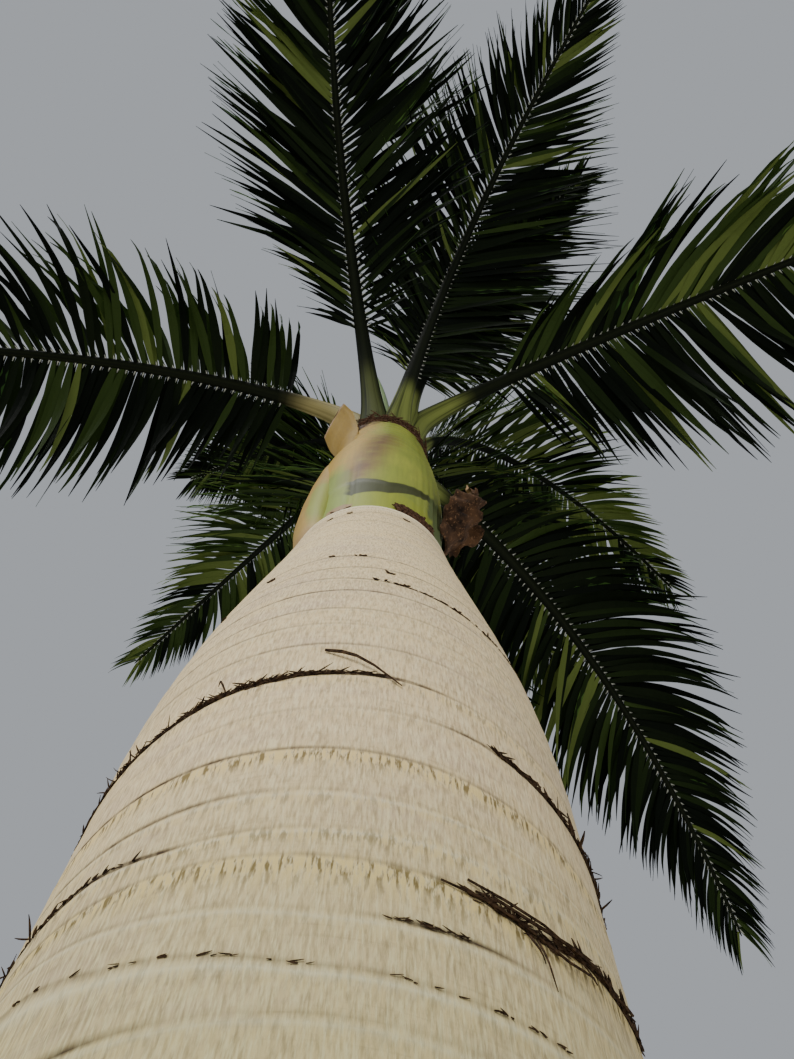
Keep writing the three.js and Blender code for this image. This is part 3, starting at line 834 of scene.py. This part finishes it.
# A withered, crumpled scrap of sheath on the right, which curls away to a pale spike
witheredShape = {
    "azimuth": -12,
    "heights": (3.98, 4.06, 4.14, 4.22, 4.32, 4.42, 4.54),
    "reaches": (0.178, 0.205, 0.245, 0.275, 0.27, 0.262, 0.262),
    "halfWidths": (0.03, 0.06, 0.078, 0.066, 0.04, 0.02, 0.003),
    "thickness": 0.005, "crumple": 0.017,
    "creases": ((1, 4, 8, 0), (0.6, 9, -19, 2), (0.35, 3, 43, 0)),  # size, waves across, waves up, start
    "notches": ((0.16, 37), (0.1, 83)),  # size and waves up
    "hollow": 0.35, "sag": 0.02, "spikePaleness": 0.9, "spike": (0.66, 0.84),
    "sides": 48, "steps": 80,
}


def witheredPoint(turn, share):
    shape = witheredShape
    height = levelOf(shape, share)
    angle = turn * tau
    across = cos(angle)
    loose = sin(pi * min(share * 1.1, 1)) * shape["crumple"]
    crumple = sum(
        size * sin(across * wide + share * high + start) for size, wide, high, start in shape["creases"]
    )
    notched = sum((size * sin(share * waves) for size, waves in shape["notches"]), start=1)
    halfWidth = shapedAt(shape, "halfWidths", height) * notched
    reach = shapedAt(shape, "reaches", height) - shape["hollow"] * across ** 2 * halfWidth + loose * crumple
    skin = shape["thickness"] * sin(angle) / 2
    side = outward(shape["azimuth"] + 90) * halfWidth * across
    sag = shape["sag"] * across * sin(share * 5) + 0.5 * loose * sin(across * 7 + share * 11)
    return outward(shape["azimuth"]) * (reach + skin) + side + upright * (height + sag)


def witheredMaterial():
    material = newMaterial("withered_sheath", 0.85, 0.15)
    mottle = noise(material, 26, stretch=(1, 1, 0.6), detail=6)
    colour = tinted(rgb(0.02, 0.011, 0.006), rgb(0.12, 0.06, 0.028), mottle, 0.35, 0.62)
    strands = fibres(material, 160, 18)
    colour = tinted(colour, rgb(0.36, 0.19, 0.09), strands, 0.56, 0.72, 0.8)
    colour = blend(attribute(material, "spike"), colour, rgb(0.55, 0.34, 0.17))
    return finishMaterial(material, colour, strands, 0.002, 0.6)


def addScrap():
    shape = witheredShape
    bm = rolledGrid(shape, witheredPoint)
    paint(bm, "spike", lambda _, share: shape["spikePaleness"] * smoothstep(share, *shape["spike"]))
    addPiece("withered_scrap", bm, witheredMaterial(), ("withered_sheath",))


addScrap()

# Dry fibres that lie in folds round the neck of the crownshaft, and brown tags at its foot on the right
neckRows = rowsOf(strandHeadings, (
    (5.055, (-128, -20), 200, 0.036, 0.045, 0.0018, 0.5, 0.16),
    (5.075, (-20, 150), 200, 0.014, 0.06, 0.0019, 0.25, 0.12),
    (5.05, (-125, -70), 40, 0.02, 0.03, 0.002, 1, 0.4),
))
footRows = rowsOf(strandHeadings, (
    (3.785, (-74, -42), 300, 0.018, 0.012, 0.0038, 0.25, 0.2),
    (3.745, (-130, -112), 90, 0.008, 0.012, 0.0018, 0.4, 0.2),
))


def addNeckFibres():
    chance = random.Random("neck")
    for name, rows, nodes in (("neck_fibres", neckRows, ("fibre_collar",)), ("foot_fibres", footRows, ())):
        rings = []
        for row in rows:
            rings += strandRow(row, chance, lambda _: row["height"], shaftRadiusAt)
        addCopies(name, rings, [], [neckFibre], nodes)


neckFibre = fibreMaterial("neck_fibre", rgb(0.03, 0.014, 0.009), rgb(0.20, 0.105, 0.06))
addNeckFibres()

# Younger sheaths inside the fronds' feet, and the unopened leaf
innerShape = {
    "footRadius": 0.086, "topRadius": 0.07, "taperEnd": 0.8, "mouth": 0.55,
    "ribs": 5, "ribbing": 0.003, "sides": 32, "steps": 24,
}
spearShape = {
    "radius": 0.03, "taper": 0.55, "tipPower": 8, "lean": 0.12, "leanAzimuth": 195,
    "pleats": 9, "pleatDepth": 0.14, "sides": 20, "steps": 60,
}


def heightIn(node, share):
    low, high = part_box(node)
    return mix(low.z, high.z, share)


def innerPoint(turn, share):
    shape = innerShape
    radius = mix(shape["footRadius"], shape["topRadius"], smoothstep(share, 0, shape["taperEnd"]))
    opened = sqrt(max(1 - smoothstep(share, shape["taperEnd"], 1) ** 2, 0))
    ribbing = shape["ribbing"] * sin(turn * tau * shape["ribs"] + share * 2)
    reach = radius * mix(shape["mouth"], 1, opened) + ribbing
    return outward(turn * 360) * reach + upright * heightIn("inner_crownshaft", share)


def spearPoint(turn, share):
    shape = spearShape
    pleat = 1 - shape["pleatDepth"] * (0.5 + 0.5 * cos(turn * tau * shape["pleats"]))
    closing = sqrt(max(1 - share ** shape["tipPower"], 0))
    radius = shape["radius"] * (1 - shape["taper"] * share) * pleat * closing
    lean = outward(shape["leanAzimuth"]) * shape["lean"] * share ** 2
    return outward(turn * 360) * radius + lean + upright * heightIn("spear_leaf", share)


def spearMaterial():
    material = newMaterial("young_leaf", 0.45, 0.3)
    veins = fibres(material, 260, 6, detail=3)
    colour = tinted(rgb(0.10, 0.19, 0.03), rgb(0.21, 0.30, 0.06), veins, 0.35, 0.7)
    return finishMaterial(material, colour, veins, 0.001, 0.4)


innerSheaths = rolledGrid(innerShape, innerPoint)
addPiece("inner_sheaths", innerSheaths, leafSheath, ("inner_crownshaft",))
spearLeaf = rolledGrid(spearShape, spearPoint)
addPiece("unopened_leaf", spearLeaf, spearMaterial(), ("spear_leaf",))
print("crownshaft made")

# Fronds: ribs that leave the crown steeply, turn out and droop to the tip
ribShape = {
    "seatElevation": 80, "turnLength": 0.24, "seatRadius": 0.118, "rootHeight": 5.06, "pathSteps": 120,
    "baseWidth": 0.028, "middleWidth": 0.019, "tipWidth": 0.007, "baseFade": 0.26,
    "depthShare": 0.72, "topHeight": 0.45, "channelDepth": 0.25, "channelWidth": 0.5, "squareness": 0.8,
    "roundedFrom": 0.985, "petioleEnd": (0.085, 0.14),
    "sides": 14, "steps": 90, "stepPower": 1.25,
}
# Each frond's way out of the crown and its leaflets: their full length, lean and skew, how long the first
# are, where on the rib they start, and how many are sunlit or half lit on its left and right
frondHeadings = (
    "name azimuth rise droop power sweep roll length seat"
    " leaf lean skew first from sunlit halfLit"
)
frondRows = rowsOf(frondHeadings, (
    ("frond_front_left", 250, 50, 49, 1.3, 15, 4, 2.95, 5.13, 0.745, 35, -9, 0.1, 0.19, (0, 0), (0.06, 0.03)),
    ("frond_front_right", 288, 71, 72, 1.5, 6, -6, 2.95, 5.13, 0.765, 30, 4, 0.15, 0.15,
     (0.02, 0), (0.08, 0.06)),
    ("frond_rear_right", 36, 29, 63, 1, 24, 20, 2.57, 5.13, 0.61, 14, -4, 0.36, 0.16,
     (0.01, 0.03), (0.06, 0.12)),
    ("frond_rear_left", 120, 79, 86, 1.2, 12, 6, 2.7, 5.18, 0.56, 25, 0, 0.36, 0.11,
     (0.22, 0.22), (0.5, 0.5)),
    ("frond_rear", 78, 36, 88, 1, 6, -8, 2.75, 5.13, 0.68, 25, 0, 0.36, 0.14, (0.06, 0.06), (0.25, 0.25)),
    ("frond_left", 190, 15, 90, 0.73, -10, -32, 2.85, 5.52, 0.65, 10, 0, 0.62, 0.13,
     (0.05, 0.02), (0.4, 0.14)),
    ("frond_right", 334, 30, 74, 0.9, -8, 22, 2.88, 5.42, 0.775, 30, -20, 0.36, 0.19,
     (0.03, 0.14), (0.14, 0.35)),
    ("frond_upper_right", 18, 79, 104, 1.65, 20, 0, 2.7, 5.44, 0.61, 25, 0, 0.36, 0.11,
     (0.35, 0.35), (0.35, 0.35)),
    ("frond_upper_front", 304, 79, 76, 1.5, 4, 6, 2.05, 5.46, 0.48, 28, 0, 0.15, 0.22,
     (0.12, 0.2), (0.3, 0.35)),
    ("frond_upper_rear", 100, 74, 62, 1.5, -8, -10, 2.6, 5.46, 0.62, 25, 0, 0.36, 0.11,
     (0.15, 0.15), (0.3, 0.3)),
    ("frond_middle_left", 150, 76, 60, 1.4, 0, 0, 1.65, 5.48, 0.48, 28, 0, 0.36, 0.11,
     (0.15, 0.15), (0.3, 0.3)),
    ("frond_inner_right", 50, 66, 84, 1.5, 6, 8, 2.55, 5.47, 0.61, 25, 0, 0.36, 0.11, (0.2, 0.2), (0.3, 0.3)),
))


def ribDirection(frond, share):
    along = max(share, 0)
    turning = exp(-along * frond["length"] / ribShape["turnLength"])
    steepness = frond["rise"] + (ribShape["seatElevation"] - frond["rise"]) * turning
    elevation = radians(steepness - frond["droop"] * along ** frond["power"])
    level = outward(frond["azimuth"] + frond["sweep"] * along)
    return level * cos(elevation) + upright * sin(elevation)


def ribPath(frond):
    steps = ribShape["pathSteps"]
    path = [outward(frond["azimuth"]) * ribShape["seatRadius"] + upright * frond["seat"]]
    for step in range(steps):
        path.append(path[-1] + ribDirection(frond, (step + 0.5) / steps) * frond["length"] / steps)
    return path


def ribFrame(frond, path, share):
    forward = ribDirection(frond, share)
    level = outward(frond["azimuth"] + frond["sweep"] * max(share, 0) + 90)
    across = Matrix.Rotation(radians(-frond["roll"]), 3, forward) @ level
    above = forward.cross(across)
    if share < 0:
        return path[0] + forward * share * frond["length"], forward, across, above
    step = min(int(share * ribShape["pathSteps"]), ribShape["pathSteps"] - 1)
    place = path[step].lerp(path[step + 1], share * ribShape["pathSteps"] - step)
    return place, forward, across, above


def ribHalfWidth(frond, share):
    along = max(share, 0)
    swollen = ribShape["baseWidth"] * exp(-along * frond["length"] / ribShape["baseFade"])
    return ribShape["tipWidth"] + ribShape["middleWidth"] * (1 - along) + swollen


def addRib(frond, path, material):
    root = (ribShape["rootHeight"] - frond["seat"]) / frond["length"]

    def shareAt(along):
        return mix(root, 1, along ** ribShape["stepPower"])

    def place(turn, along):
        share = shareAt(along)
        centre, _, across, above = ribFrame(frond, path, share)
        cosine, height = cos(turn * tau), sin(turn * tau)
        if height > 0:
            channel = ribShape["channelDepth"] * bell(cosine, 0, ribShape["channelWidth"])
            height *= ribShape["topHeight"] - channel
        width = copysign(abs(cosine) ** ribShape["squareness"], cosine)
        rounding = sqrt(max(1 - smoothstep(along, ribShape["roundedFrom"], 1), 0.05))
        halfWidth = ribHalfWidth(frond, share) * rounding
        return centre + (across * width + above * height * ribShape["depthShare"]) * halfWidth

    bm = rolledGrid(ribShape, place)
    paint(bm, "petiole", lambda _, along: 1 - smoothstep(shareAt(along), *ribShape["petioleEnd"]))
    nodes = (frond["name"] + "_inner", frond["name"] + "_outer")
    return addPiece(frond["name"] + "_rib", bm, material, nodes)


def ribMaterial(name, deep, fresh):
    # Striped at the foot, and nearly black with fine stripes from the first leaflets on, as painted shade
    material = newMaterial(name, 0.6, 0.08)
    stripes = noise(material, 1, stretch=(11, 1.1, 1), space="UV")
    foot = tinted(deep, fresh, stripes, 0.4, 0.58)
    rest = tinted(rgb(0.004, 0.0055, 0.0025), rgb(0.013, 0.017, 0.006), stripes, 0.35, 0.65)
    colour = blend(attribute(material, "petiole"), rest, foot)
    return finishMaterial(material, colour, stripes, 0.0015, 0.4)


# Leaflets: folded blades in two ranks on each side of a rib, in small groups that part from each other
leafletShape = {
    "pairs": 152, "segments": 10,
    "halfWidth": 0.0178, "rootHalfWidth": 0.007, "widest": 0.34, "narrowing": 0.85,
    "fold": 0.2, "thickness": 0.0016,
    "startFrom": 0.1, "fullFrom": 0.4, "fadingFrom": 0.5, "lastShare": 0.3, "lastPlace": 0.995,
    "rootReach": 0.85, "rootLift": 0.2, "evenWidth": 0.35,
    "droop": 1.15, "droops": (0.75, 1.15), "droopSpan": (0.12, 0.8),
    "hooks": (-1, 2.4), "hookSpan": (0.7, 0.97),
    "leanAtTip": 65, "leanPower": 2,
    "rankAngle": 13, "tiltSpread": 4, "lengthSpread": 0.06,
    "groupSize": (2, 6), "groupLean": 4.2, "groupTilt": 6,
    "ownLean": 1.3, "ownLight": 0.12, "litFrom": (0.08, 0.2), "widths": (0.85, 1.1), "twist": 30,
    "slender": 0.3, "fullWidthAt": 0.8, "shorter": (1.05, 0.76, 0.5),
}
leafBaseShape = {
    "length": 0.026, "halfWidth": 0.003, "widths": (0.8, 1, 0.8, 0.3),
    "thickness": 0.004, "inside": 0.3, "below": 0.35,
}
# The plain tints with their shares of the shaded leaflets, and then the half lit and the sunlit one
# Each tint's colour for the faces under a blade is painted far darker than its top, as shade
leafTints = rowsOf("name top under share", (
    ("leaf_deep", rgb(0.030, 0.072, 0.016), rgb(0.0045, 0.007, 0.0035), 0.45),
    ("leaf_green", rgb(0.045, 0.105, 0.021), rgb(0.0085, 0.0135, 0.005), 0.35),
    ("leaf_fresh", rgb(0.070, 0.145, 0.028), rgb(0.015, 0.026, 0.007), 0.2),
    ("leaf_half_lit", rgb(0.095, 0.175, 0.032), rgb(0.036, 0.060, 0.014), 0),
    ("leaf_sunlit", rgb(0.17, 0.25, 0.045), rgb(0.125, 0.165, 0.038), 0),
))
plainTints, halfLitTint, sunlitTint = 3, 3, 4  # how many are plain, and the places of the other two


def leafMaterial(name, colour):
    material = newMaterial(name, 0.55, 0.04)
    return finishMaterial(material, colour, noise(material, 60, detail=2), 0.0006, 0.3)


def leafletLength(frond, share):
    grownUp = smoothstep(share, leafletShape["startFrom"], leafletShape["fullFrom"])
    faded = max((share - leafletShape["fadingFrom"]) / (1 - leafletShape["fadingFrom"]), 0)
    return frond["leaf"] * mix(frond["first"], 1, grownUp) * mix(1, leafletShape["lastShare"], faded)


def leafletWidths(crowding):
    stations = np.linspace(0, 1, leafletShape["segments"] + 1)
    widest, full = leafletShape["widest"], leafletShape["halfWidth"] * crowding
    growing = np.clip(stations / widest, 0, 1)
    opening = mix(leafletShape["rootHalfWidth"], full, growing * (2 - growing))
    closing = np.clip((1 - stations) / (1 - widest), 0.03, 1) ** leafletShape["narrowing"]
    return np.where(stations < widest, opening, full * closing)


def runsInto(centres, limbs):
    # Whether a leaflet's midline meets a rib or sheath that isn't its own
    for first, second in zip(centres, centres[1:]):
        step = Vector(second - first)
        for limb in limbs:
            if limb.ray_cast(Vector(first), step.normalized(), step.length)[0] is not None:
                return True
    return False


def leaflet(frond, path, share, side, rank, sway, size):
    shape = leafletShape
    place, forward, across, above = ribFrame(frond, path, share)
    leanAtBase = frond["lean"] + frond["skew"] * side
    lean = mix(leanAtBase, shape["leanAtTip"], share ** shape["leanPower"])
    crowding = cos(radians(lean)) / cos(radians(leanAtBase))
    lean = radians(lean + sway["lean"])
    tilt = radians(shape["rankAngle"] * rank + sway["tilt"])
    outwards = across * side * cos(tilt) + above * sin(tilt)
    inner = outwards * cos(lean) + forward * sin(lean)
    bending = [
        shape["droop"] * sway["droop"] * smoothstep(middle, *shape["droopSpan"])
        + sway["hook"] * smoothstep(middle, *shape["hookSpan"])
        for middle in ((step + 0.5) / shape["segments"] for step in range(shape["segments"]))
    ]
    headings = unit(np.array(inner) - np.outer(bending, upright))
    atRib = ribHalfWidth(frond, share) * shape["rootReach"]
    root = np.array(place + across * side * atRib + above * shape["rootLift"] * atRib * rank)
    length = (leafletLength(frond, share) - atRib) * size * sway["length"]
    face = side * np.cross(np.array(forward), np.array(inner))
    slender = mix(shape["slender"], 1, min(length / frond["leaf"] / shape["fullWidthAt"], 1))
    widths = leafletWidths(mix(crowding, 1, shape["evenWidth"])) * sway["width"] * slender
    centres = grown(root, headings, length)
    return bladeRings(centres, face, widths, shape["thickness"], shape["fold"], sway["twist"]), centres


def leafBase(frond, path, share, side, centres):
    # The pale swollen foot of a leaflet, just under where it leaves the rib
    shape = leafBaseShape
    _, forward, _, above = ribFrame(frond, path, share)
    heading = unit(centres[1] - centres[0])
    start = centres[0] - heading * shape["length"] * shape["inside"]
    start = start - np.array(above) * ribHalfWidth(frond, share) * shape["below"]
    halves = shape["halfWidth"] * np.array(shape["widths"])
    face = side * np.cross(np.array(forward), heading)
    line = grown(start, np.tile(heading, (3, 1)), shape["length"])
    return bladeRings(line, face, halves, shape["thickness"])


def leafTint(frond, share, side, light, chance):
    which = 0 if side > 0 else 1
    opened = smoothstep(share, *leafletShape["litFrom"])
    plain = chance.choices(range(plainTints), weights=[tint["share"] for tint in leafTints[:plainTints]])[0]
    if light < frond["sunlit"][which] * opened:
        return sunlitTint
    return halfLitTint if light < (frond["sunlit"][which] + frond["halfLit"][which]) * opened else plain


def addLeaflets(frond, path, limbs, chance):
    blades, bases, tints = [], [], []
    for side in (1, -1):
        left = 0
        for number in range(leafletShape["pairs"]):
            if left == 0:
                left = chance.randint(*leafletShape["groupSize"])
                groupLean = chance.gauss(0, leafletShape["groupLean"])
                groupTilt = chance.gauss(0, leafletShape["groupTilt"])
                groupLight = chance.random()
            left -= 1
            share = mix(frond["from"], leafletShape["lastPlace"], (number + 0.5) / leafletShape["pairs"])
            rank = 1 if (number + (0 if side > 0 else 1)) % 2 == 0 else -1
            sway = {
                "lean": groupLean + chance.gauss(0, leafletShape["ownLean"]),
                "tilt": groupTilt + chance.gauss(0, leafletShape["tiltSpread"]),
                "droop": chance.uniform(*leafletShape["droops"]),
                "hook": max(chance.uniform(*leafletShape["hooks"]), 0),
                "length": 1 - abs(chance.gauss(0, leafletShape["lengthSpread"])),
                "width": chance.uniform(*leafletShape["widths"]),
                "twist": chance.gauss(0, leafletShape["twist"]),
            }
            light = groupLight + chance.gauss(0, leafletShape["ownLight"])
            tint = leafTint(frond, share, side, light, chance)
            for size in leafletShape["shorter"]:
                rings, centres = leaflet(frond, path, share, side, rank, sway, size)
                if not runsInto(centres[1:], limbs):
                    blades.append(rings)
                    tints.append(tint)
                    if rank > 0:
                        bases.append(leafBase(frond, path, share, side, centres))
                    break
    addCopies(frond["name"] + "_leaflets", blades, tints, leafPairs)
    addCopies(frond["name"] + "_leaf_bases", bases, [], [paleBase])
    return len(blades)


def treeOf(piece):
    points = [vertex.co for vertex in piece.data.vertices]
    return BVHTree.FromPolygons(points, [polygon.vertices for polygon in piece.data.polygons])


leafPairs = [
    leafMaterial(tint["name"] + "_" + face, tint[face]) for tint in leafTints for face in ("top", "under")
]
paleBase = leafMaterial("leaf_base", rgb(0.62, 0.62, 0.53))
greenRib = ribMaterial("frond_rib", rgb(0.05, 0.06, 0.016), rgb(0.27, 0.31, 0.075))
# The front left frond's rib is painted darker, as shade on its shadow side
shadedRib = ribMaterial("shaded_frond_rib", rgb(0.012, 0.016, 0.006), rgb(0.10, 0.115, 0.035))
tanRib = ribMaterial("old_frond_rib", rgb(0.24, 0.20, 0.07), rgb(0.44, 0.37, 0.15))
paths = [ribPath(frond) for frond in frondRows]
ownRibs = {"frond_left": tanRib, "frond_front_left": shadedRib}
ribs = [addRib(frond, path, ownRibs.get(frond["name"], greenRib)) for frond, path in zip(frondRows, paths)]
ribTrees = [treeOf(rib) for rib in ribs]
sheathNodes = ("trunk", "crownshaft", "inner_crownshaft", "spear_leaf", "sheath_flap", "sheath_lobe")
sheathTrees = [treeOf(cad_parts[name]) for name in sheathNodes]
leafCount = 0
for index, frond in enumerate(frondRows):
    limbs = sheathTrees + ribTrees[:index] + ribTrees[index + 1:]
    leafCount += addLeaflets(frond, paths[index], limbs, random.Random(frond["name"]))
print("fronds made, with", leafCount, "leaflets")

# Studio: a pale floor, an even pale sky of soft light and two broad lamps
studio = {
    "floorSize": 24, "floorColour": rgb(0.55, 0.54, 0.52),
    "sky": rgb(0.38, 0.40, 0.43), "skyStrength": 1.0,
    "keyEnergy": 2.8, "keyDirection": (-118, 40),
    "fillEnergy": 0.9, "fillDirection": (60, 62),
    "softness": 35,
}


def addLamp(name, energy, direction):
    azimuth, elevation = direction
    data = bpy.data.lights.new(name, "SUN")
    data.energy = energy
    data.angle = radians(studio["softness"])
    lamp = bpy.data.objects.new(name, data)
    rise = radians(elevation)
    towards = outward(azimuth) * cos(rise) + upright * sin(rise)
    lamp.rotation_mode = "QUATERNION"
    lamp.rotation_quaternion = (-towards).to_track_quat("-Z", "Y")
    bpy.context.scene.collection.objects.link(lamp)


def addStudio():
    bm = bmesh.new()
    bmesh.ops.create_grid(bm, x_segments=4, y_segments=4, size=studio["floorSize"] / 2)
    mesh = bpy.data.meshes.new("floor")
    bm.to_mesh(mesh)
    bm.free()
    floor = bpy.data.objects.new("floor", mesh)
    material = newMaterial("floor", 0.9, 0.2)
    mesh.materials.append(finishMaterial(material, studio["floorColour"]))
    bpy.context.scene.collection.objects.link(floor)
    world = bpy.data.worlds.new("sky")
    world.use_nodes = True
    background = world.node_tree.nodes["Background"]
    background.inputs["Color"].default_value = studio["sky"]
    background.inputs["Strength"].default_value = studio["skyStrength"]
    bpy.context.scene.world = world
    addLamp("key", studio["keyEnergy"], studio["keyDirection"])
    addLamp("fill", studio["fillEnergy"], studio["fillDirection"])


addStudio()
print("studio made")
